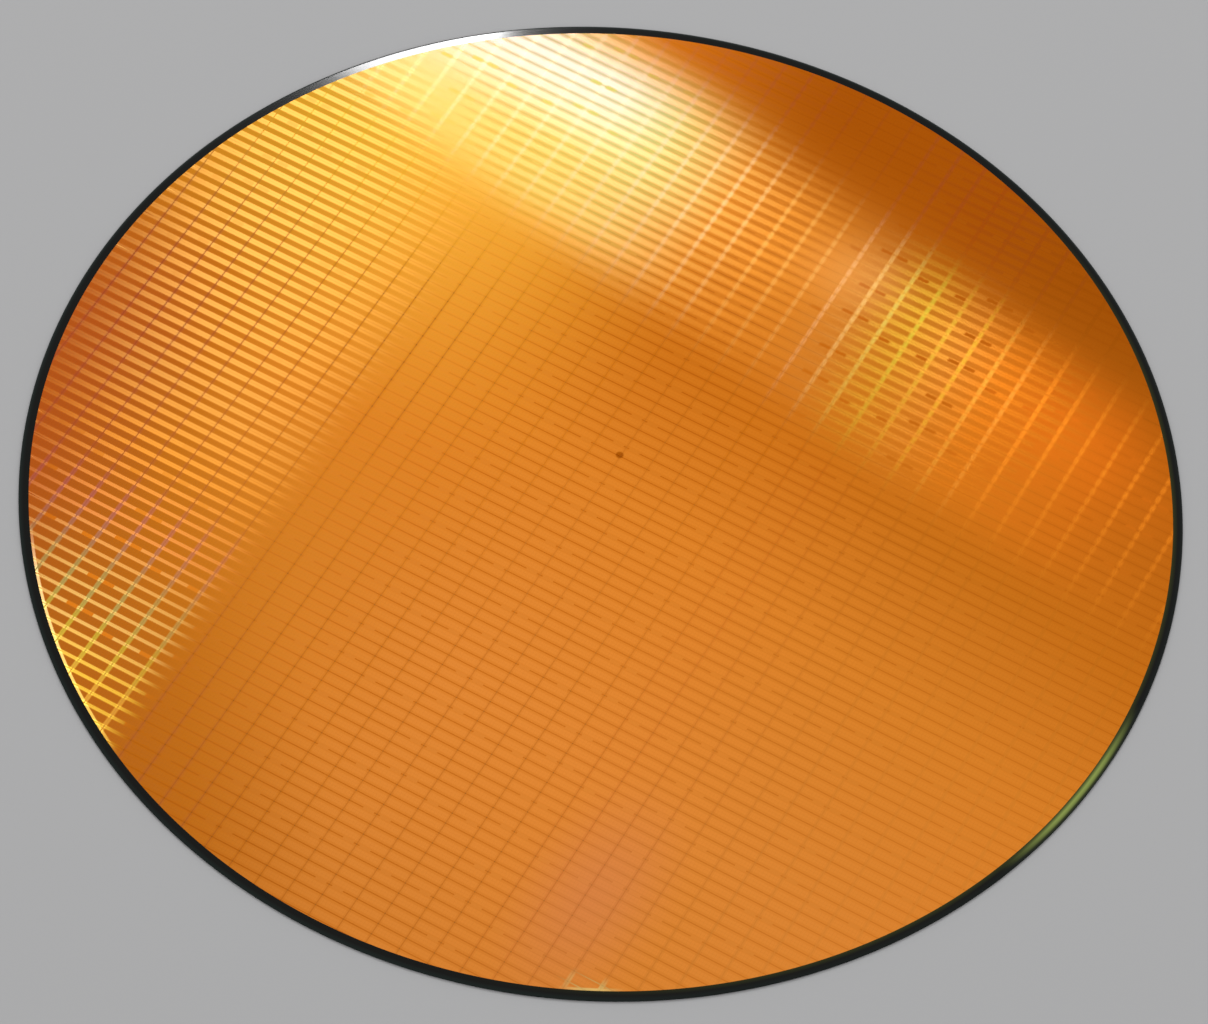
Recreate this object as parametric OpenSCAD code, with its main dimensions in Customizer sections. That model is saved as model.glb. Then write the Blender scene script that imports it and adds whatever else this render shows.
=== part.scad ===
// Silicon wafer with its printed pattern of dies, lying on its back face.
// The origin is the centre of the back face, +Z is up through the patterned face,
// X runs along a die's long side and Y along its short side.

/* [Wafer] */
// Diameter over the edge
wafer_d = 300; // [100:1:450]
// Thickness of the bare silicon
wafer_t = 0.775; // [0.5:0.005:1.2]

/* [Edge] */
// Angle of each bevel, measured from the face
bevel_angle = 22; // [12:1:35]
// Radius of the round nose between the two bevels
nose_r = 0.25; // [0.15:0.01:0.35]

/* [Pattern] */
// Width of the bare ring round the pattern, from the edge inward
bare_ring_w = 2.6; // [1:0.1:10]
// Height of the film that the dies are built in
film_t = 0.01; // [0.005:0.001:0.05]
// Length of a die, along X
die_l = 7.58; // [5:0.01:26]
// Width of a die, along Y
die_w = 2.95; // [2:0.01:26]
// Width of the scribe street between dies
street_w = 0.3; // [0.05:0.01:1]
// How far the middle row street lies below the wafer's centre
row_drop = 0.8; // [0:0.05:3]

/* [Exposure fields] */
// Rows of dies printed in one exposure
field_rows = 7; // [4:1:12]

/* [Hidden] */

wafer_r = wafer_d / 2;
film_r = wafer_r - bare_ring_w;
pitch_x = die_l + street_w;
pitch_y = die_w + street_w;
field_h = field_rows * pitch_y;
columns = floor(film_r / pitch_x);
fields = ceil(wafer_r / field_h);

// Where each bevel leaves the nose and where it meets the face
mid_z = wafer_t / 2;
nose_x = wafer_r - nose_r;
tangent_x = nose_x + nose_r * sin(bevel_angle);
tangent_z = nose_r * cos(bevel_angle);
bevel_x = tangent_x - (mid_z - tangent_z) / tan(bevel_angle);

// Facets of a full turn and of the nose
disc_facets = 128;
nose_facets = 24;

// Half section of the silicon: flat faces, a bevel on each side and a round nose
module silicon_section() {
    polygon([
        [0, 0],
        [bevel_x, 0],
        [tangent_x, mid_z - tangent_z],
        [nose_x, mid_z],
        [tangent_x, mid_z + tangent_z],
        [bevel_x, wafer_t],
        [0, wafer_t]
    ]);
    translate([nose_x, mid_z])
        circle(r = nose_r, $fn = nose_facets);
}

// One street on every column line, and one along each edge of the exposure fields
module streets() {
    for (i = [-columns : columns])
        translate([i * pitch_x, 0])
            square([street_w, wafer_d], center = true);
    for (k = [-fields : fields])
        translate([0, k * field_h - row_drop])
            square([wafer_d, street_w], center = true);
}

// The film is printed up to the bare ring, so the dies at its edge are cut by the circle
module film() {
    translate([0, 0, wafer_t])
        linear_extrude(film_t)
            difference() {
                circle(r = film_r, $fn = disc_facets);
                streets();
            }
}

module wafer() {
    color("#23261f")
        rotate_extrude($fn = disc_facets)
            silicon_section();
    color("#d27b2a")
        film();
}

wafer();
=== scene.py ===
"""A patterned 300 mm silicon wafer on a pale floor: camera, light, the detailed disc and its finishes."""

import math

import bmesh
import bpy
from mathutils import Matrix, Vector


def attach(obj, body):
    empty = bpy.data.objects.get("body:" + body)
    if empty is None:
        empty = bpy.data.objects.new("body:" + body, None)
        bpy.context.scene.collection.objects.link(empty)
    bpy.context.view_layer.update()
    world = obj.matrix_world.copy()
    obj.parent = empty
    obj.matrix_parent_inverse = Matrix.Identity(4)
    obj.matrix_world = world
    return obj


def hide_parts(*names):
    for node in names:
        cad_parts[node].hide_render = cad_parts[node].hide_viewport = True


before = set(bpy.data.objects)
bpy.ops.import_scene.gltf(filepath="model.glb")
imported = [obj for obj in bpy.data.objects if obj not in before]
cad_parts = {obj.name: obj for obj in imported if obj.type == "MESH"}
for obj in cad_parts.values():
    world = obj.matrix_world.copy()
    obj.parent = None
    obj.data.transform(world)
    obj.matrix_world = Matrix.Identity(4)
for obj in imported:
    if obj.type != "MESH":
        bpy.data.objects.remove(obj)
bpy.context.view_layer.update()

MM = 0.001

# ---------------------------------------------------------------- sizes, as in the frame's own solid

WAFER_R = 150 * MM
WAFER_T = 0.775 * MM
BEVEL_ANGLE = math.radians(22)
NOSE_R = 0.25 * MM
BARE_RING_W = 2.6 * MM
FILM_T = 0.01 * MM
DIE_L = 7.58 * MM
DIE_W = 2.95 * MM
STREET_W = 0.3 * MM
ROW_DROP = 0.8 * MM
FILM_R = WAFER_R - BARE_RING_W
PITCH_X = DIE_L + STREET_W
PITCH_Y = DIE_W + STREET_W
FILM_Z = WAFER_T + FILM_T

# A band of bond pads runs round each die beside its streets.
ROW_PAD_W = 0.65 * MM
COLUMN_PAD_W = 0.45 * MM
EDGE_BEAD_W = 0.7 * MM

# One exposure prints 4 by 7 dies. Test strips lie over the row streets at fixed places of it:
# (row line, column line, side of that column line on which the strip lies).
FIELD_COLUMNS = 4
FIELD_ROWS = 7
STRIP_PLACES = ((0, 0, -1), (0, 0, 1), (4, 0, -1), (4, 0, 1), (3, 1, 1), (3, 3, -1))
STRIP_GAP = 0.8 * MM
STRIP_L = 3.1 * MM
STRIP_W = 1.1 * MM
STRIP_T = 0.003 * MM
STRIP_RIM_GAP = 0.5 * MM

RIM_SEGMENTS = 720
NOSE_SEGMENTS = 10
SAME_POINT = 0.1e-6  # points closer than this are one point

# ---------------------------------------------------------------- camera
# It was fitted to the rim and the die grid in the photo. The focal length is in pixels of that frame.

VIEW_HEADING = math.radians(24.9)
VIEW_DOWN = math.radians(56.76)
VIEW_ROLL = math.radians(5.09)
VIEW_DISTANCE = 1.2353
VIEW_AIM = Vector((4.7 * MM, -8.2 * MM, FILM_Z))
FOCAL_PIXELS = 4811
IMAGE_WIDTH = 1208
SENSOR_MM = 36
CLIP_START = 0.01
CLIP_END = 100


def make_camera():
    forward = Vector((
        -math.sin(VIEW_HEADING) * math.cos(VIEW_DOWN),
        math.cos(VIEW_HEADING) * math.cos(VIEW_DOWN),
        -math.sin(VIEW_DOWN),
    ))
    level = Vector((math.cos(VIEW_HEADING), math.sin(VIEW_HEADING), 0))
    upright = level.cross(forward)
    right = level * math.cos(VIEW_ROLL) + upright * math.sin(VIEW_ROLL)
    up = right.cross(forward)
    cam = bpy.data.cameras.new("camera")
    cam.sensor_width = SENSOR_MM
    cam.lens = FOCAL_PIXELS / IMAGE_WIDTH * SENSOR_MM
    cam.clip_start = CLIP_START
    cam.clip_end = CLIP_END
    ob = bpy.data.objects.new("camera", cam)
    turn = Matrix((right, up, -forward)).transposed()
    ob.matrix_world = Matrix.Translation(VIEW_AIM - forward * VIEW_DISTANCE) @ turn.to_4x4()
    bpy.context.scene.collection.objects.link(ob)
    bpy.context.scene.camera = ob


# ---------------------------------------------------------------- node helpers


class Nodes:
    """A material's node tree, with short calls to add and join nodes."""

    def __init__(self, name):
        self.mat = bpy.data.materials.new(name)
        self.mat.use_nodes = True
        self.tree = self.mat.node_tree
        self.tree.nodes.clear()
        self.out = self.tree.nodes.new("ShaderNodeOutputMaterial")

    def add(self, kind, **inputs):
        node = self.tree.nodes.new("ShaderNode" + kind)
        for key, value in inputs.items():
            self.put(node.inputs[key.replace("_", " ")], value)
        return node

    def put(self, socket, value):
        if isinstance(value, bpy.types.NodeSocket):
            self.tree.links.new(value, socket)
        else:
            socket.default_value = value

    def place(self):
        """The place on the wafer, as sockets for x and y in metres."""
        xyz = self.add("SeparateXYZ", Vector=self.add("TexCoord").outputs["Object"])
        return xyz.outputs["X"], xyz.outputs["Y"]

    def math(self, operation, a, b=0.0, c=0.0):
        node = self.tree.nodes.new("ShaderNodeMath")
        node.operation = operation
        for socket, value in zip(node.inputs, (a, b, c)):
            self.put(socket, value)
        return node.outputs[0]

    def times(self, *values):
        product = values[0]
        for value in values[1:]:
            product = self.math("MULTIPLY", product, value)
        return product

    def smooth(self, value, start, end):
        """0 at the start and 1 at the end, with soft ends."""
        node = self.add("MapRange", Value=value, From_Min=start, From_Max=end)
        node.interpolation_type = "SMOOTHSTEP"
        return node.outputs["Result"]

    def line_distance(self, value, pitch):
        """The distance to the nearest multiple of the pitch."""
        shifted = self.math("MULTIPLY_ADD", value, 1 / pitch, 0.5)
        centred = self.math("SUBTRACT", self.math("FRACT", shifted), 0.5)
        return self.math("MULTIPLY", self.math("ABSOLUTE", centred), pitch)

    def ramp(self, value, stops):
        """A colour for each value: stops are (value, colour, strength)."""
        low, high = stops[0][0], stops[-1][0]
        share = self.math("DIVIDE", self.math("SUBTRACT", value, low), high - low)
        node = self.add("ValToRGB", Fac=share)
        elements = node.color_ramp.elements
        for _ in stops[2:]:
            elements.new(0.5)
        for element, stop in zip(elements, stops):
            element.position = (stop[0] - low) / (high - low)
        for element, (_, colour, strength) in zip(elements, stops):
            element.color = tuple(c * strength for c in colour) + (1.0,)
        return node.outputs["Color"]

    def scale(self, colour, amount):
        node = self.tree.nodes.new("ShaderNodeVectorMath")
        node.operation = "SCALE"
        self.put(node.inputs[0], colour)
        self.put(node.inputs["Scale"], amount)
        return node.outputs[0]

    def sum(self, *colours):
        total = colours[0]
        for colour in colours[1:]:
            total = self.vector("ADD", total, colour)
        return total

    def vector(self, operation, a, b):
        node = self.tree.nodes.new("ShaderNodeVectorMath")
        node.operation = operation
        self.put(node.inputs[0], a)
        self.put(node.inputs[1], b)
        return node.outputs[0]

    def clamped(self, colour):
        """The colour with nothing below zero or above one."""
        return self.vector("MINIMUM", self.vector("MAXIMUM", colour, (0, 0, 0)), (1, 1, 1))

    def mix_colour(self, share, a, b):
        node = self.tree.nodes.new("ShaderNodeMix")
        node.data_type = "RGBA"
        for name, value in (("Factor", share), ("A", a), ("B", b)):
            socket = next(s for s in node.inputs if s.name == name and s.enabled)
            self.put(socket, value)
        return next(s for s in node.outputs if s.enabled)

    def mix_shader(self, share, a, b):
        node = self.tree.nodes.new("ShaderNodeMixShader")
        self.put(node.inputs[0], share)
        self.put(node.inputs[1], a)
        self.put(node.inputs[2], b)
        return node.outputs[0]

    def finish(self, shader):
        self.tree.links.new(shader, self.out.inputs["Surface"])
        return self.mat


# ---------------------------------------------------------------- floor, world and lamps

KEY_MIDDLE = Vector((-0.1263, 0.1126, 0))   # where the key lamp would be mirrored in the wafer
KEY_DISTANCE = 2.0
KEY_WIDTH = 0.145
KEY_HEIGHT = 0.127
KEY_RADIANCE = 75
HOT_SHARE = 0.60            # the soft box is hotter over this share of its height
HOT_RADIANCE = 62           # what is added there
WORLD_LEVEL = 0.70
FLOOR_SIZE = 12.0
FLOOR_Z = 0.02 * MM         # a hair above the back face, which would else lie in the floor's own plane
FLOOR_COLOUR = (0.50, 0.50, 0.505, 1)
FLOOR_ROUGHNESS = 0.9


def camera_place():
    return bpy.context.scene.camera.matrix_world.translation


def mirrored_place(spot, distance):
    """The place at this distance whose light the camera sees mirrored at a spot on the wafer."""
    ray = (camera_place() - spot).normalized()
    return spot + Vector((-ray.x, -ray.y, ray.z)) * distance


def grid_aligned_lamp(name, place, target, width, height, radiance):
    """A soft box whose edges run with the grid as the wafer mirrors it. Returns its upward direction."""
    data = bpy.data.lights.new(name, "AREA")
    data.shape = "RECTANGLE"
    data.size = width
    data.size_y = height
    data.energy = radiance * math.pi * width * height
    back = (place - target).normalized()
    up = Vector((0, back.z, -back.y)).normalized()
    turn = Matrix((up.cross(back), up, back)).transposed()
    ob = bpy.data.objects.new(name, data)
    ob.matrix_world = Matrix.Translation(place) @ turn.to_4x4()
    bpy.context.scene.collection.objects.link(ob)
    return up


def make_lights():
    place = mirrored_place(KEY_MIDDLE, KEY_DISTANCE)
    up = grid_aligned_lamp("key", place, KEY_MIDDLE, KEY_WIDTH, KEY_HEIGHT, KEY_RADIANCE)
    hot = place + up * KEY_HEIGHT * (1 - HOT_SHARE) / 2
    grid_aligned_lamp("key_hot", hot, KEY_MIDDLE, KEY_WIDTH, KEY_HEIGHT * HOT_SHARE, HOT_RADIANCE)
    world = bpy.data.worlds.new("studio")
    bpy.context.scene.world = world
    world.use_nodes = True
    back = world.node_tree.nodes["Background"]
    back.inputs["Color"].default_value = (1, 1, 1, 1)
    back.inputs["Strength"].default_value = WORLD_LEVEL


def make_floor():
    half = FLOOR_SIZE / 2
    mesh = bpy.data.meshes.new("floor")
    corners = [(x * half, y * half, FLOOR_Z) for x, y in ((-1, -1), (1, -1), (1, 1), (-1, 1))]
    mesh.from_pydata(corners, [], [(0, 1, 2, 3)])
    ob = bpy.data.objects.new("floor", mesh)
    bpy.context.scene.collection.objects.link(ob)
    n = Nodes("floor")
    shader = n.add("BsdfPrincipled", Base_Color=FLOOR_COLOUR, Roughness=FLOOR_ROUGHNESS)
    mesh.materials.append(n.finish(shader.outputs[0]))


# ---------------------------------------------------------------- the wafer's mesh

SLOTS = ("die", "row_street", "column_street", "street_crossing", "test_strip", "bare_ring", "bevel",
         "back")


def silicon_outline():
    """Half section of the silicon's edge as (radius, height), from the back's rim up to the bare ring's."""
    nose_x = WAFER_R - NOSE_R
    mid_z = WAFER_T / 2
    tangent_x = nose_x + NOSE_R * math.sin(BEVEL_ANGLE)
    tangent_z = NOSE_R * math.cos(BEVEL_ANGLE)
    bevel_x = tangent_x - (mid_z - tangent_z) / math.tan(BEVEL_ANGLE)
    end = math.pi / 2 - BEVEL_ANGLE
    points = [(bevel_x, 0.0)]
    for k in range(NOSE_SEGMENTS + 1):
        a = -end + 2 * end * k / NOSE_SEGMENTS
        points.append((nose_x + NOSE_R * math.cos(a), mid_z + NOSE_R * math.sin(a)))
    points.append((bevel_x, WAFER_T))
    return points


def intervals(pitch, middle):
    """Cuts a line into streets and dies, as (start, end, is_street), from the middle street's place."""
    count = math.floor(FILM_R / pitch) + 1
    out = []
    for i in range(-count, count + 1):
        at = middle + i * pitch
        out.append((at - STREET_W / 2, at + STREET_W / 2, True))
        out.append((at + STREET_W / 2, at + pitch - STREET_W / 2, False))
    return out


def clip(points, axis, limit, sign):
    """The part of a convex outline on one side of a line across an axis."""
    kept = []
    for a, b in zip(points, points[1:] + points[:1]):
        da, db = sign * (limit - a[axis]), sign * (limit - b[axis])
        if da >= 0:
            kept.append(a)
        if (da > 0 > db) or (da < 0 < db):
            t = (limit - a[axis]) / (b[axis] - a[axis])
            kept.append((a[0] + t * (b[0] - a[0]), a[1] + t * (b[1] - a[1])))
    return kept


def circle_points(radius):
    """The corners of the polygon that stands for a circle round the wafer's middle."""
    step = 2 * math.pi / RIM_SEGMENTS
    return [(radius * math.cos(k * step), radius * math.sin(k * step)) for k in range(RIM_SEGMENTS)]


def cell_outline(x0, x1, y0, y1, circle):
    """A rectangle cut by the round edge of the film, or None outside it."""
    corners = [(x0, y0), (x1, y0), (x1, y1), (x0, y1)]
    inner = FILM_R * math.cos(math.pi / RIM_SEGMENTS) - SAME_POINT
    if all(math.hypot(x, y) < inner for x, y in corners):
        return corners
    near_x = min(max(0, x0), x1)
    near_y = min(max(0, y0), y1)
    if math.hypot(near_x, near_y) >= FILM_R:
        return None
    points = clip(clip(circle, 0, x1, 1), 0, x0, -1)
    points = clip(clip(points, 1, y1, 1), 1, y0, -1) if points else points
    return points if len(points) > 2 else None


def add_face(bm, points, z, slot):
    face = bm.faces.new([bm.verts.new((x, y, z)) for x, y in points])
    face.material_index = SLOTS.index(slot)


def make_pattern(bm):
    """The dies at the film's height and the streets between them on the silicon."""
    circle = circle_points(FILM_R)
    for x0, x1, x_street in intervals(PITCH_X, 0):
        for y0, y1, y_street in intervals(PITCH_Y, -ROW_DROP):
            points = cell_outline(x0, x1, y0, y1, circle)
            if not points:
                continue
            if x_street:
                add_face(bm, points, WAFER_T, "street_crossing" if y_street else "column_street")
            elif y_street:
                add_face(bm, points, WAFER_T, "row_street")
            else:
                add_face(bm, points, FILM_Z, "die")


def on_film(v):
    return v.co.z > WAFER_T + FILM_T / 2


def on_silicon(v):
    return abs(v.co.z - WAFER_T) < FILM_T / 4


def add_film_walls(bm):
    """Drops a wall from every open edge of the film to the silicon."""
    tops = [v for v in bm.verts if on_film(v)]
    bmesh.ops.remove_doubles(bm, verts=tops, dist=SAME_POINT)
    edges = [e for e in bm.edges if e.is_boundary and on_film(e.verts[0])]
    made = bmesh.ops.extrude_edge_only(bm, edges=edges)["geom"]
    for part in made:
        if isinstance(part, bmesh.types.BMVert):
            part.co.z = WAFER_T
        if isinstance(part, bmesh.types.BMFace):
            part.material_index = SLOTS.index("die")
    low = [v for v in bm.verts if on_silicon(v)]
    bmesh.ops.remove_doubles(bm, verts=low, dist=SAME_POINT)


def turn_of(v):
    return math.atan2(v.co.y, v.co.x) % (2 * math.pi)


def pattern_rim(bm):
    """The points round the pattern's foot: those at the polygon's corners, and those between them."""
    step = 2 * math.pi / RIM_SEGMENTS
    inner = FILM_R * math.cos(step / 2) - SAME_POINT
    rim = [v for v in bm.verts if on_silicon(v) and math.hypot(v.co.x, v.co.y) > inner]
    rim = [v for v in rim if any(e.is_boundary for e in v.link_edges)]
    corners = {}
    between = [[] for _ in range(RIM_SEGMENTS)]
    for v in sorted(rim, key=turn_of):
        a = turn_of(v) / step
        if abs(a - round(a)) * step * FILM_R < SAME_POINT:
            corners[round(a) % RIM_SEGMENTS] = v
        else:
            between[int(a)].append(v)
    return corners, between


def ring_of(bm, radius, z):
    return [bm.verts.new((x, y, z)) for x, y in circle_points(radius)]


def add_silicon(bm):
    """The bare ring, the rounded edge and the back, joined to the pattern's foot."""
    corners, between = pattern_rim(bm)
    rings = [ring_of(bm, r, z) for r, z in silicon_outline()]
    bm.faces.new(list(reversed(rings[0]))).material_index = SLOTS.index("back")
    for i, (lower, upper) in enumerate(zip(rings, rings[1:])):
        for k in range(RIM_SEGMENTS):
            m = (k + 1) % RIM_SEGMENTS
            face = bm.faces.new((lower[k], lower[m], upper[m], upper[k]))
            face.material_index = SLOTS.index("bevel")
            face.smooth = 0 < i < len(rings) - 2
    for k in range(RIM_SEGMENTS):
        m = (k + 1) % RIM_SEGMENTS
        inner = [corners[k]] + between[k] + [corners[m]]
        face = bm.faces.new([rings[-1][k], rings[-1][m]] + list(reversed(inner)))
        face.material_index = SLOTS.index("bare_ring")
    bmesh.ops.recalc_face_normals(bm, faces=bm.faces)


def add_strip(bm, x0, x1, y0, y1):
    """A low block that stands in the street and laps over the pads beside it."""
    low = [bm.verts.new((x, y, WAFER_T)) for x, y in ((x0, y0), (x1, y0), (x1, y1), (x0, y1))]
    high = [bm.verts.new((v.co.x, v.co.y, FILM_Z + STRIP_T)) for v in low]
    faces = [bm.faces.new(list(reversed(low))), bm.faces.new(high)]
    for k in range(4):
        m = (k + 1) % 4
        faces.append(bm.faces.new((low[k], low[m], high[m], high[k])))
    for face in faces:
        face.material_index = SLOTS.index("test_strip")


def add_strips(bm):
    """The test strips of every exposure field, apart from those that would reach the rim."""
    columns = math.floor(FILM_R / PITCH_X)
    rows = math.floor(FILM_R / PITCH_Y)
    for row in range(-rows, rows + 1):
        for column in range(-columns, columns + 1):
            for place_row, place_column, side in STRIP_PLACES:
                if row % FIELD_ROWS != place_row or column % FIELD_COLUMNS != place_column:
                    continue
                near = column * PITCH_X + side * STRIP_GAP
                far = near + side * STRIP_L
                middle = row * PITCH_Y - ROW_DROP
                y0, y1 = middle - STRIP_W / 2, middle + STRIP_W / 2
                reach = math.hypot(max(abs(near), abs(far)), max(abs(y0), abs(y1)))
                if reach < FILM_R - STRIP_RIM_GAP:
                    add_strip(bm, min(near, far), max(near, far), y0, y1)


def make_wafer():
    """The whole disc as one mesh, with a UV map that gives the streaks their direction."""
    bm = bmesh.new()
    make_pattern(bm)
    add_film_walls(bm)
    add_silicon(bm)
    add_strips(bm)
    mesh = bpy.data.meshes.new("wafer_detail")
    bm.to_mesh(mesh)
    bm.free()
    grain = mesh.uv_layers.new(name="grain")
    for loop in mesh.loops:
        p = mesh.vertices[loop.vertex_index].co
        grain.data[loop.index].uv = (p.x / WAFER_R / 2 + 0.5, p.y / WAFER_R / 2 + 0.5)
    ob = bpy.data.objects.new("wafer_detail", mesh)
    bpy.context.scene.collection.objects.link(ob)
    return ob


# ---------------------------------------------------------------- the pattern's colours
# Colours are linear. The dies and streets are gratings, so the lamp gives each of them two streaks along
# the grid: streak A runs along X and streak B along Y. Near the lamp's mirror point a streak is pale gold,
# and further off it runs through the spectrum. From here on u and v are x and y in wafer radii. A streak's
# stops are (place, tint, strength), by u for streak A and by v for streak B.

WHITE = (1, 0.92, 0.60)
PALE_GOLD = (1, 0.80, 0.36)
GOLD = (1, 0.60, 0.14)
AMBER = (1, 0.45, 0.07)
ORANGE = (1, 0.28, 0.02)
RED = (1, 0.17, 0.01)
CANARY = (1, 0.68, 0.06)
YELLOW = (1, 0.80, 0.08)
CHARTREUSE = (0.80, 1, 0.07)
LIME = (0.55, 1, 0.06)
GREEN = (0.10, 1, 0.28)
CYAN = (0.05, 0.80, 0.70)
VIOLET = (0.75, 0.35, 1)
PINK = (1, 0.65, 0.28)
CREAM = (1, 0.82, 0.28)
PRIMROSE = (0.85, 1, 0.20)
APPLE = (0.73, 1, 0.085)
BUFF = (1, 0.80, 0.22)
PEACH = (1, 0.40, 0.12)
STRAW = (0.06, 1, 0.38)
GLARE = (0.10, 0.25, 1)
NONE = (0, 0, 0)

DIE_A = ((-0.60, PALE_GOLD, 0.85), (-0.25, PALE_GOLD, 0.92), (-0.10, GOLD, 0.70), (0.00, AMBER, 0.72),
         (0.10, AMBER, 0.48), (0.20, GOLD, 0.25), (0.30, YELLOW, 0.18), (0.40, AMBER, 0.36),
         (0.50, ORANGE, 0.60), (0.60, RED, 0.78), (0.72, RED, 0.85), (0.82, RED, 0.45), (0.92, RED, 0.25))
ROW_A = ((-0.60, STRAW, 0.25), (-0.28, STRAW, 0.36), (-0.10, AMBER, 0.30), (0.00, AMBER, 0.24),
         (0.10, AMBER, 0.29), (0.20, GOLD, 0.36), (0.30, YELLOW, 0.62), (0.40, AMBER, 0.96),
         (0.50, ORANGE, 1.0), (0.60, ORANGE, 0.76), (0.72, RED, 0.60), (0.82, RED, 0.29), (0.92, RED, 0.17))
COLUMN_A = ((-0.60, WHITE, 0.47), (-0.25, WHITE, 0.40), (-0.10, PALE_GOLD, 0.43), (0.00, GOLD, 0.45),
            (0.10, GOLD, 0.335), (0.155, PINK, 0.34), (0.21, CREAM, 0.38), (0.26, PRIMROSE, 0.385),
            (0.315, APPLE, 0.39), (0.37, YELLOW, 0.43), (0.42, CANARY, 0.57), (0.50, AMBER, 0.69),
            (0.58, ORANGE, 0.84), (0.72, ORANGE, 0.68), (0.90, ORANGE, 0.59))
DIE_B = ((-0.90, NONE, 0), (0.05, NONE, 0), (0.50, LIME, 0.4))
ROW_B = ((-0.90, YELLOW, 1.0), (-0.78, YELLOW, 1.0), (-0.70, BUFF, 0.80), (-0.62, BUFF, 0.74),
         (-0.50, PEACH, 0.74), (-0.35, AMBER, 0.68), (-0.20, GOLD, 0.49), (0.00, GOLD, 0.56),
         (0.30, GOLD, 0.62), (0.45, GOLD, 0.62), (0.60, PALE_GOLD, 0.45), (0.80, AMBER, 0.25))
COLUMN_B = ((-0.90, CANARY, 1.0), (-0.80, CANARY, 1.0), (-0.75, CHARTREUSE, 0.76), (-0.70, LIME, 0.66),
            (-0.65, GREEN, 0.54), (-0.60, GREEN, 0.43), (-0.55, CYAN, 0.20), (-0.48, VIOLET, 0.12),
            (-0.40, NONE, 0), (0.05, NONE, 0), (0.50, LIME, 0.15))
STRIP_A = ((-0.60, STRAW, 0.32), (-0.28, STRAW, 0.36), (-0.10, AMBER, 0.30), (0.08, AMBER, 0.28),
           (0.18, RED, 0.08), (0.42, RED, 0.10), (0.55, RED, 0.6), (0.65, RED, 0.85), (0.90, RED, 0.4))
STRIP_B = ((-0.85, ORANGE, 0.43), (-0.50, ORANGE, 0.43), (-0.35, AMBER, 0.55), (-0.20, GOLD, 0.46),
           (0.00, GOLD, 0.46), (0.45, GOLD, 0.44), (0.80, AMBER, 0.25))
BEAD_B = ((-0.90, YELLOW, 1.0), (-0.64, PALE_GOLD, 1.0), (-0.57, NONE, 0))

# Each gloss's share of its surface, and the share that a die keeps for its own gloss and its pads'.
DIE_GLOSS_A = 0.050
ROW_GLOSS_A = 0.060
COLUMN_GLOSS_A = 0.095
DIE_GLOSS_B = 0.017
ROW_GLOSS_B = 0.090
COLUMN_GLOSS_B = 0.059
BEAD_GLOSS_B = 0.12
CROSSING_SHARE = 0.5        # of a street's gloss, where two streets cross
COLUMN_LOSS_ON_ROWS = 0.6   # of a column pad's gloss, where it lies on a row's pads
DIE_WEIGHT_A = 0.10
DIE_WEIGHT_B = 0.12

# How wide a streak's reflection is along it and across it, as Beckmann alphas, and the turns of its tangent.
STREAK_LONG = 0.15
STREAK_CRISP = 0.003
STREAK_SOFT = 0.013
ALONG_X = 0.25
ALONG_Y = 0.0

# Streak A grows stronger over this stretch of u, above a line that runs at a slant.
HOT_U = (0.05, 0.35)
HOT_SLANT = 0.3
HOT_V = (0.61, 0.70)
HOT_GAIN = 0.22

# Streak B has a crisp right edge, and grows stronger to the left and near the lower rim.
STREAK_B_EDGE = (-0.42, -0.48)
STREAK_B_SLOPE = -1.5
STREAK_B_LOWEST = (-0.55, -0.82)
STREAK_B_LOWEST_GAIN = 0.45

# A bluish glare whitens the dies at the left end of streak A.
GLARE_U = (-0.22, -0.42)
GLARE_RISE_V = (0.56, 0.76)
GLARE_FALL_V = (0.90, 0.76)
GLARE_SHARE = 0.5

# The film's colours: partly its own change of colour, partly painted light. The gold and straw at the upper
# left are a painted glow near the lamp's mirror point; the brown at the upper right and the darker left side
# and left rim are painted shade, where the streaks' light falls off. They change upwards, on the left side
# by v and on the right along a slant.
FILM_LIGHT = (0.775, 0.282, 0.042)
FILM_ORANGE = (0.74, 0.257, 0.026)
FILM_AMBER = (0.635, 0.195, 0.011)
SHADED_FILM_BROWN = (0.42, 0.10, 0.002)
FILM_LEFT = (0.72, 0.26, 0.025)
LIT_FILM_GOLD = (0.86, 0.42, 0.045)
LIT_FILM_STRAW = (0.88, 0.465, 0.055)
FILM_RUST = (0.54, 0.168, 0.011)
SIDE_SHADE_COLOUR = (0.48, 0.145, 0.006)
LEFT_RIM_SHADE_COLOUR = (0.48, 0.10, 0.004)
FILM_LEFT_RISE = ((-0.40, FILM_LEFT, 0.93), (-0.10, FILM_LEFT, 1), (0.36, LIT_FILM_GOLD, 0.97),
                  (0.47, LIT_FILM_STRAW, 1), (0.62, LIT_FILM_GOLD, 1), (0.75, LIT_FILM_GOLD, 0.90),
                  (0.90, FILM_AMBER, 1))
FILM_RISE = ((-0.90, FILM_LIGHT, 0.94), (-0.70, FILM_LIGHT, 0.98), (-0.45, FILM_LIGHT, 1),
             (0.00, FILM_ORANGE, 1), (0.30, FILM_AMBER, 1), (0.90, SHADED_FILM_BROWN, 1))
BASE_ROUGHNESS = 0.6

# Where the film's colours change: each pair is where a change starts and where it is complete. A slant is
# the share of u that is added to v, for a change that runs at a slant to the grid.
FILM_SLANT = 0.2
LEFT_TO_RIGHT = (-0.5, 0.0)
RUST_SLANT = 1.2
RUST_REACH = (-0.82, -1.45)
SIDE_U = (-0.50, -0.90)
SIDE_SHARE = 0.62
LEFT_RIM_U = (-0.62, -0.92)
LEFT_RIM_V = (0.25, -0.20)
LEFT_RIM_SHARE = 0.8
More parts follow.
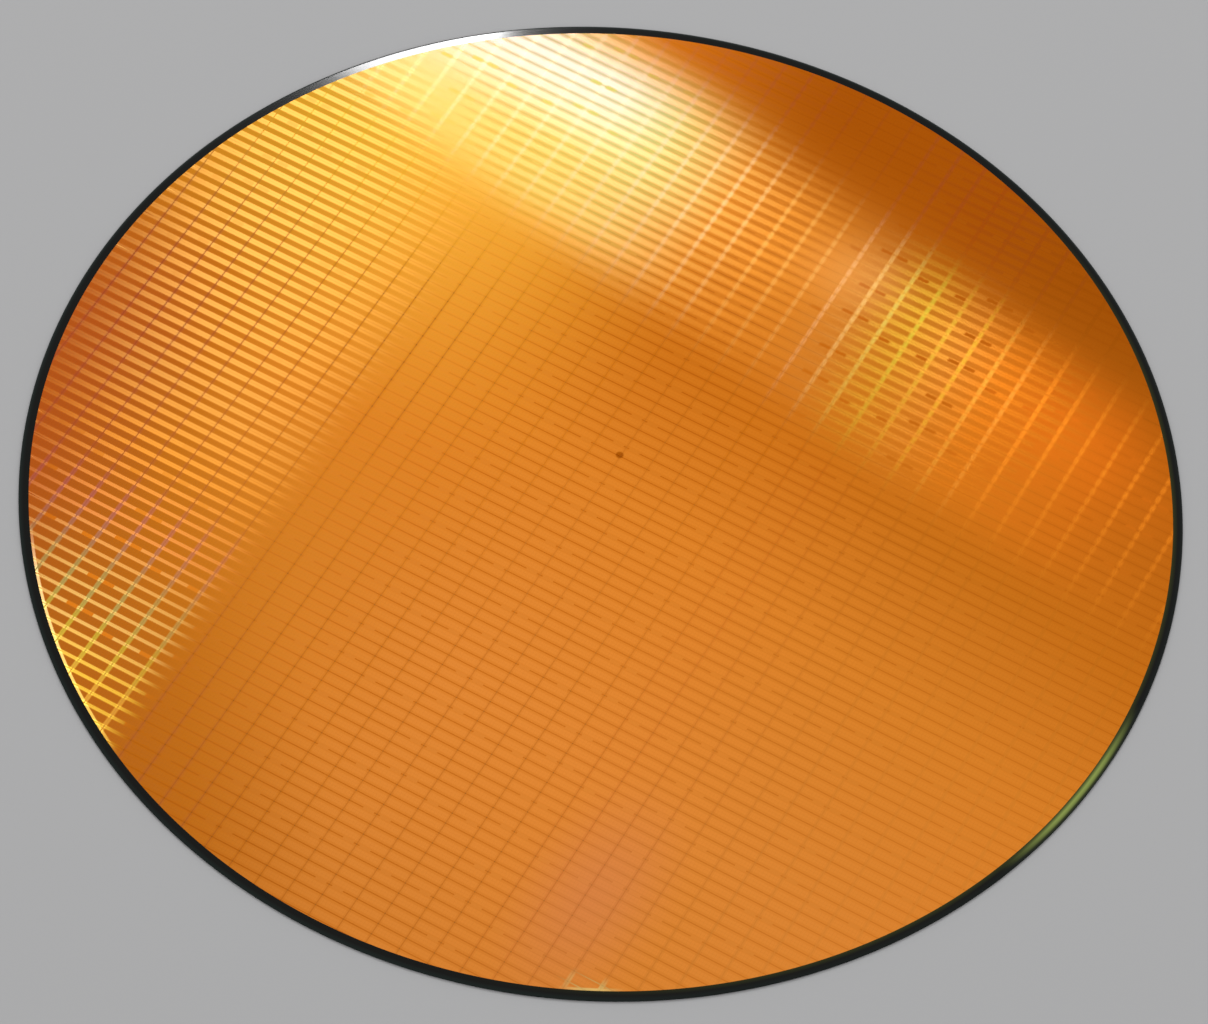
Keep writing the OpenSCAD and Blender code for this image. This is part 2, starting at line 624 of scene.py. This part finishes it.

# Spots of another colour: a violet blush near the lower rim and one dark speck. Two more are painted light:
# a painted green glint on the lines near the lower rim, and a painted pale glow in streak A. Each fades from
# a solid share of its radii outwards.
BLUSH_MIDDLE = (0.38, -0.72)
BLUSH_RADII = (0.15, 0.28)
BLUSH_ADDED = (-0.03, -0.012, 0.026)
GLOW_MIDDLE = (0.165, 0.61)
GLOW_RADII = (0.15, 0.11)
GLOW_ADDED = (0.10, 0.075, 0.03)
GLINT_MIDDLE = (0.47, -0.87)
GLINT_RADII = (0.08, 0.04)
GLINT_SOLID = 0.2
GLINT_ADDED = (0.03, 0.24, 0.12)
SPECK_MIDDLE = (-0.0028, 0.062)
SPECK_R = 1.25 * MM
SPECK_SOLID = 0.6
SPECK_COLOUR = (0.47, 0.125, 0.003)

# How deep the rows and columns show in the film: masks as above, and the share that each takes off.
LEFTWARD_U = (-0.12, -0.40)
UPPER_REACH = (0.40, 0.75)
NEAR_RIGHT_U = (0.0, 0.35)
FAR_RIGHT_U = (0.5, 0.9)
RIGHTWARD_U = (0.1, 0.9)
LEFT_TOP_V = (0.15, 0.45)
# The rows fade to the left beside streak B: painted light, for the faint light of that streak's tail on the
# rows.
ROW_FADES = {"leftward": 0.6, "upper": 0.75, "near_right": 0.33, "far_right": 0.2, "blush": 0.6}
COLUMN_FADES = {"upper": 0.6, "rightward": 0.9, "left_top": 0.75}

# The columns' own depth, and what is added to it in the lower part of the face and at the upper left.
COLUMN_DEPTH = 0.45
COLUMN_DEEPER_BELOW = 0.2
BELOW_U = (-0.45, -0.35)
BELOW_V = (-0.2, -0.5)
COLUMN_DEEPER_LEFT = 0.55
LEFT_UPPER_U = (-0.18, -0.48)
LEFT_UPPER_RISE_V = (-0.25, 0.0)
LEFT_UPPER_FALL_V = (0.42, 0.15)

# The bare ring's tints, by how far out they lie: zero at the film's edge and one at the bevel's. The near
# black is painted reflection, for the dark room that polished silicon would mirror; teal and olive are the
# oxide's tints, and the sage green at the right is a painted glint.
MIRRORED_DARK = (0.002, 0.002, 0.001)
TEAL = (0.006, 0.012, 0.010)
OLIVE = (0.030, 0.034, 0.004)
SAGE_GLINT = (0.30, 0.38, 0.085)
RING_LEFT = ((0.0, MIRRORED_DARK, 1), (0.5, MIRRORED_DARK, 1), (0.9, TEAL, 1))
RING_RIGHT = ((0.0, OLIVE, 1), (0.5, MIRRORED_DARK, 1), (0.9, TEAL, 0.5))
RING_GREEN_GLINT = ((0.0, OLIVE, 1), (0.15, SAGE_GLINT, 0.35), (0.40, SAGE_GLINT, 1), (0.60, SAGE_GLINT, 0.75), (0.80, SAGE_GLINT, 0.12),
              (1.0, TEAL, 1))
RING_LEFT_TO_RIGHT = (0.2, 0.9)
RING_GLINT_MIDDLE = (0.98, -0.135)      # where the ring is green, and how far off the green fades out
RING_GLINT_REACH = 0.21
RING_GLINT_SOLID = 0.2
RING_ROUGHNESS = 0.06
RING_SPECULAR = 0.17

# What is left of the film's colour on the streets, the pads and the test strips, and how the pads end.
ROW_STREET_SHADE = (0.78, 0.62, 0.28)
ROW_PAD_SHADE = (0.942, 0.900, 0.765)
COLUMN_STREET_SHADE = (0.76, 0.64, 0.40)
COLUMN_PAD_SHADE = (0.95, 0.93, 0.88)
PAD_EDGE_BLUR = 0.16 * MM
ROW_PAD_LOSS = 0.5          # of the row pads' width, at the lower left
ROW_PAD_LOSS_U = (-0.20, -0.40)
ROW_PAD_LOSS_V = (-0.22, -0.48)
BLOCKS_X = 8                # the memory blocks in a die, and the lines between them
BLOCKS_Y = 2
BLOCK_LINE_W = 0.06 * MM
BLOCK_SHADE = (0.94, 0.93, 0.92)
CROSSING_SHADE = (0.35, 0.30, 0.25)
STRIP_SHADE = (0.95, 0.92, 0.85)

# The back's greys, the scale of its marks, per metre, and its roughness.
BACK_DARK = (0.150, 0.154, 0.168)
BACK_PALE = (0.230, 0.235, 0.250)
BACK_MARKS_LONG = 30
BACK_MARKS_FINE = 2500
BACK_MOTTLE = 90
BACK_TONES = (0.30, 0.70)   # the noise levels at which the greys are reached
BACK_ROUGHNESS = 0.22
BACK_ROUGHNESS_ADDED = 0.30


def streak(n, tint, across, turn):
    """Gloss that a lamp draws out into a streak along X or along Y."""
    tangent = n.tree.nodes.new("ShaderNodeTangent")
    tangent.direction_type = "UV_MAP"
    tangent.uv_map = "grain"
    # Cycles squares the roughness and shares it out between the two directions by the anisotropy.
    roughness = (STREAK_LONG * across) ** 0.25
    anisotropy = 1 - math.sqrt(across / STREAK_LONG)
    node = n.add("BsdfAnisotropic", Roughness=roughness, Anisotropy=anisotropy, Rotation=turn, Color=tint)
    node.distribution = "BECKMANN"
    n.put(node.inputs["Tangent"], tangent.outputs[0])
    return node.outputs[0]


class Film(Nodes):
    """A material on the pattern, with the film's colour, the lines' depth and the streaks' strength."""

    def __init__(self, name):
        super().__init__(name)
        self.x, self.y = self.place()
        self.u = self.math("DIVIDE", self.x, WAFER_R)
        self.v = self.math("DIVIDE", self.y, WAFER_R)
        self.upward = self.slanted(FILM_SLANT)
        self.blush = self.spot(BLUSH_MIDDLE, BLUSH_RADII)
        self.colour = self.film_colour()
        # A painted glint: green added to the lines' colour near the lower rim.
        self.glint = self.scale(GLINT_ADDED, self.spot(GLINT_MIDDLE, GLINT_RADII, GLINT_SOLID))
        self.row_depth, self.column_depth = self.line_depths()
        self.strength_a = self.streak_a_strength()
        self.strength_b = self.streak_b_strength()

    def slanted(self, share):
        return self.math("MULTIPLY_ADD", self.u, share, self.v)

    def film_colour(self):
        """The film's colour between the lines, with its spots: partly its own colour, partly painted light
        and shade.
        """
        # Lighter gold near the lamp's mirror point is a painted glow; the brown towards the upper right is
        # painted shade.
        left = self.ramp(self.v, FILM_LEFT_RISE)
        right = self.ramp(self.upward, FILM_RISE)
        colour = self.mix_colour(self.smooth(self.u, *LEFT_TO_RIGHT), left, right)
        rust = self.smooth(self.slanted(RUST_SLANT), *RUST_REACH)
        colour = self.mix_colour(rust, colour, FILM_RUST + (1,))
        # Darker towards the left side and the left rim: painted shade, where streak B's light falls off.
        side = self.times(self.smooth(self.u, *SIDE_U), SIDE_SHARE)
        colour = self.mix_colour(side, colour, SIDE_SHADE_COLOUR + (1,))
        left_rim_shade = self.times(
            self.smooth(self.u, *LEFT_RIM_U), self.smooth(self.v, *LEFT_RIM_V), LEFT_RIM_SHARE)
        colour = self.mix_colour(left_rim_shade, colour, LEFT_RIM_SHADE_COLOUR + (1,))
        # A painted glow: paler colour where streak A lies.
        glow = self.spot(GLOW_MIDDLE, GLOW_RADII)
        colour = self.sum(colour, self.scale(BLUSH_ADDED, self.blush), self.scale(GLOW_ADDED, glow))
        speck = self.spot(SPECK_MIDDLE, (SPECK_R / WAFER_R, SPECK_R / WAFER_R), SPECK_SOLID)
        return self.mix_colour(speck, colour, SPECK_COLOUR + (1,))

    def line_depths(self):
        """How deep the rows and the columns show: zero is not at all."""
        leftward = self.smooth(self.u, *LEFTWARD_U)
        masks = {
            "leftward": leftward,
            "upper": self.smooth(self.upward, *UPPER_REACH),
            "near_right": self.smooth(self.u, *NEAR_RIGHT_U),
            "far_right": self.smooth(self.u, *FAR_RIGHT_U),
            "rightward": self.smooth(self.u, *RIGHTWARD_U),
            "left_top": self.times(leftward, self.smooth(self.v, *LEFT_TOP_V)),
            "blush": self.blush,
        }
        below = self.times(self.smooth(self.v, *BELOW_V), self.smooth(self.u, *BELOW_U))
        left_upper = self.times(
            self.smooth(self.u, *LEFT_UPPER_U),
            self.smooth(self.v, *LEFT_UPPER_RISE_V),
            self.smooth(self.v, *LEFT_UPPER_FALL_V),
        )
        depth = self.math("MULTIPLY_ADD", below, COLUMN_DEEPER_BELOW, COLUMN_DEPTH)
        depth = self.math("MULTIPLY_ADD", left_upper, COLUMN_DEEPER_LEFT, depth)
        return self.faded(masks, ROW_FADES), self.times(depth, self.faded(masks, COLUMN_FADES))

    def streak_a_strength(self):
        """What streak A's stops are multiplied by."""
        hot = self.times(self.smooth(self.u, *HOT_U), self.smooth(self.slanted(HOT_SLANT), *HOT_V))
        return self.math("MULTIPLY_ADD", hot, HOT_GAIN, 1.0)

    def streak_b_strength(self):
        """What streak B's stops are multiplied by: nothing to the right of its edge."""
        lowest = self.math("MULTIPLY_ADD", self.smooth(self.v, *STREAK_B_LOWEST), STREAK_B_LOWEST_GAIN, 1.0)
        return self.times(self.u, STREAK_B_SLOPE, self.smooth(self.u, *STREAK_B_EDGE), lowest)

    def spot(self, middle, radii, solid=0.0):
        """A soft oval mask: one out to the solid share of its radii, and zero past them."""
        across = self.math("DIVIDE", self.math("SUBTRACT", self.u, middle[0]), radii[0])
        along = self.math("DIVIDE", self.math("SUBTRACT", self.v, middle[1]), radii[1])
        reach = self.math("SQRT", self.math("MULTIPLY_ADD", across, across, self.times(along, along)))
        return self.smooth(reach, 1.0, solid)

    def faded(self, masks, fades):
        """One, less each named mask's share of what is left."""
        depth = 1.0
        for name, share in fades.items():
            depth = self.times(depth, self.math("MULTIPLY_ADD", masks[name], -share, 1.0))
        return depth

    def block_lines(self, value, pitch, count):
        """A mask of the lines that cut each die evenly, counted from the die's middle."""
        share = self.math("FRACT", self.math("DIVIDE", value, pitch))
        off_middle = self.math("MULTIPLY_ADD", share, pitch, -pitch / 2)
        near = self.line_distance(off_middle, (pitch - STREET_W) / count)
        return self.smooth(near, BLOCK_LINE_W, BLOCK_LINE_W / 4)

    def shade(self, amount, shade):
        """The film's colour is taken down to the shade where the amount is one."""
        factor = self.mix_colour(amount, (1, 1, 1, 1), shade + (1,))
        self.colour = self.vector("MULTIPLY", self.colour, factor)

    def patterned(self, *glosses):
        """The film's shader: a satin base under streaks, given as (weight, tint, across, turn).

        A gloss also mirrors the room's even light, so as much is taken off the base's colour.
        """
        kept = 1.0
        colour = self.colour
        for weight, tint, across, turn in glosses:
            kept *= 1 - weight
            colour = self.sum(colour, self.scale(tint, -weight))
        colour = self.clamped(self.scale(colour, 1 / kept))
        base = self.add("BsdfPrincipled", Base_Color=colour, Metallic=1.0, Roughness=BASE_ROUGHNESS)
        shader = base.outputs[0]
        for weight, tint, across, turn in glosses:
            shader = self.mix_shader(weight, shader, streak(self, tint, across, turn))
        return self.finish(shader)


def street_material(name, shade, depth, gloss_a, ramp_a, gloss_b, ramp_b):
    """A street, a crossing of two or a test strip, shaded as deep as the rows or the columns are there."""
    n = Film(name)
    n.shade(getattr(n, depth), shade)
    # The painted green glint near the lower rim, added to the street's colour.
    n.colour = n.sum(n.colour, n.glint)
    return n.patterned(
        (gloss_a, n.scale(n.ramp(n.u, ramp_a), n.strength_a), STREAK_CRISP, ALONG_X),
        (gloss_b, n.scale(n.ramp(n.v, ramp_b), n.strength_b), STREAK_SOFT, ALONG_Y),
    )


def band(n, distance, edge):
    """A mask of what lies nearer than the edge, with a soft edge."""
    outer = n.math("ADD", edge, PAD_EDGE_BLUR)
    inner = n.math("SUBTRACT", edge, PAD_EDGE_BLUR)
    return n.smooth(distance, outer, inner)


def die_material():
    """The dies: memory blocks inside, a band of pads along each side, and a bead round the film's edge."""
    n = Film("die")
    reach = n.math("SQRT", n.math("MULTIPLY_ADD", n.x, n.x, n.times(n.y, n.y)))
    row_y = n.math("ADD", n.y, ROW_DROP)
    narrower = n.times(
        n.smooth(n.v, *ROW_PAD_LOSS_V), n.smooth(n.u, *ROW_PAD_LOSS_U), -ROW_PAD_LOSS * ROW_PAD_W)
    row_pads = band(n, n.line_distance(row_y, PITCH_Y), n.math("ADD", narrower, STREET_W / 2 + ROW_PAD_W))
    column_pads = band(n, n.line_distance(n.x, PITCH_X), STREET_W / 2 + COLUMN_PAD_W)
    bead = n.math("SUBTRACT", 1.0, band(n, reach, FILM_R - EDGE_BEAD_W))
    inside = n.times(n.math("SUBTRACT", 1.0, row_pads), n.math("SUBTRACT", 1.0, column_pads))
    n.shade(n.times(row_pads, n.row_depth), ROW_PAD_SHADE)
    n.shade(n.times(column_pads, n.column_depth), COLUMN_PAD_SHADE)
    n.shade(n.times(inside, n.block_lines(n.x, PITCH_X, BLOCKS_X)), BLOCK_SHADE)
    n.shade(n.times(inside, n.block_lines(row_y, PITCH_Y, BLOCKS_Y)), BLOCK_SHADE)
    # The painted green glint, on the column pads and the bead.
    n.colour = n.sum(n.colour, n.scale(n.glint, n.math("MAXIMUM", column_pads, bead)))

    def tint(place, weight, *parts):
        """The tint of the die's one gloss, from parts given as (stops, mask, gloss)."""
        return n.sum(*(n.scale(n.ramp(place, stops), n.times(mask, gloss / weight))
                       for stops, mask, gloss in parts))

    columns_a = n.times(column_pads, n.math("MULTIPLY_ADD", row_pads, -COLUMN_LOSS_ON_ROWS, 1.0))
    tint_a = tint(
        n.u, DIE_WEIGHT_A,
        (DIE_A, inside, DIE_GLOSS_A), (ROW_A, row_pads, ROW_GLOSS_A),
        (COLUMN_A, columns_a, COLUMN_GLOSS_A))
    glare = n.times(
        n.smooth(n.v, *GLARE_RISE_V), n.smooth(n.v, *GLARE_FALL_V), n.smooth(n.u, *GLARE_U),
        GLARE_SHARE * DIE_GLOSS_A / DIE_WEIGHT_A)
    tint_a = n.scale(n.sum(tint_a, n.scale(GLARE, glare)), n.strength_a)
    tint_b = tint(
        n.v, DIE_WEIGHT_B,
        (DIE_B, inside, DIE_GLOSS_B), (ROW_B, row_pads, ROW_GLOSS_B),
        (COLUMN_B, column_pads, COLUMN_GLOSS_B), (BEAD_B, bead, BEAD_GLOSS_B))
    return n.patterned(
        (DIE_WEIGHT_A, tint_a, STREAK_CRISP, ALONG_X),
        (DIE_WEIGHT_B, n.scale(tint_b, n.strength_b), STREAK_SOFT, ALONG_Y),
    )


def ring_material(name):
    """Bare polished silicon with a thin oxide's tints: each by how far out it lies. Its near black is
    painted reflection of a dark room, and a painted green glint lies at the right.
    """
    n = Nodes(name)
    x, y = n.place()
    reach = n.math("SQRT", n.math("MULTIPLY_ADD", x, x, n.times(y, y)))
    out = n.math("DIVIDE", n.math("SUBTRACT", reach, FILM_R), BARE_RING_W)
    u = n.math("DIVIDE", x, WAFER_R)
    v = n.math("DIVIDE", y, WAFER_R)
    right = n.smooth(u, *RING_LEFT_TO_RIGHT)
    off_u = n.math("SUBTRACT", u, RING_GLINT_MIDDLE[0])
    off_v = n.math("SUBTRACT", v, RING_GLINT_MIDDLE[1])
    off = n.math("SQRT", n.math("MULTIPLY_ADD", off_u, off_u, n.times(off_v, off_v)))
    # A painted glint: the ring's colour turns sage green here.
    green = n.smooth(off, RING_GLINT_REACH, RING_GLINT_SOLID * RING_GLINT_REACH)
    dark = n.mix_colour(right, n.ramp(out, RING_LEFT), n.ramp(out, RING_RIGHT))
    tint = n.mix_colour(green, dark, n.ramp(out, RING_GREEN_GLINT))
    base = n.add("BsdfPrincipled", Base_Color=tint, Roughness=RING_ROUGHNESS)
    base.inputs["Specular IOR Level"].default_value = RING_SPECULAR
    return n.finish(base.outputs[0])


def back_material():
    """The ground back: dull grey silicon, mottled by its etch and with fine marks across it."""
    n = Nodes("back")
    x, y = n.place()
    along = n.add("CombineXYZ", X=n.times(x, BACK_MARKS_LONG), Y=n.times(y, BACK_MARKS_FINE))
    marks = n.add("TexNoise", Vector=along.outputs[0], Scale=1.0, Detail=3.0).outputs[0]
    place = n.add("TexCoord").outputs["Object"]
    mottle = n.add("TexNoise", Vector=place, Scale=BACK_MOTTLE, Detail=4.0).outputs[0]
    both = n.math("MULTIPLY_ADD", marks, 0.5, n.times(mottle, 0.5))
    tint = n.ramp(both, ((BACK_TONES[0], BACK_DARK, 1), (BACK_TONES[1], BACK_PALE, 1)))
    roughness = n.math("MULTIPLY_ADD", both, BACK_ROUGHNESS_ADDED, BACK_ROUGHNESS)
    base = n.add("BsdfPrincipled", Base_Color=tint, Metallic=1.0, Roughness=roughness)
    return n.finish(base.outputs[0])


make_camera()
make_floor()
make_lights()
bpy.context.scene.view_settings.view_transform = "Standard"
wafer = make_wafer()
finishes = {
    "die": die_material(),
    "row_street": street_material(
        "row_street", ROW_STREET_SHADE, "row_depth", ROW_GLOSS_A, ROW_A, ROW_GLOSS_B, ROW_B),
    "column_street": street_material(
        "column_street", COLUMN_STREET_SHADE, "column_depth",
        COLUMN_GLOSS_A, COLUMN_A, COLUMN_GLOSS_B, COLUMN_B),
    "street_crossing": street_material(
        "street_crossing", CROSSING_SHADE, "column_depth",
        CROSSING_SHARE * COLUMN_GLOSS_A, COLUMN_A, CROSSING_SHARE * ROW_GLOSS_B, ROW_B),
    "test_strip": street_material(
        "test_strip", STRIP_SHADE, "row_depth", ROW_GLOSS_A, STRIP_A, ROW_GLOSS_B, STRIP_B),
    "bare_ring": ring_material("bare_ring"),
    "bevel": ring_material("bevel"),
    "back": back_material(),
}
for slot in SLOTS:
    wafer.data.materials.append(finishes[slot])
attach(wafer, "root")
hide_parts("wafer")
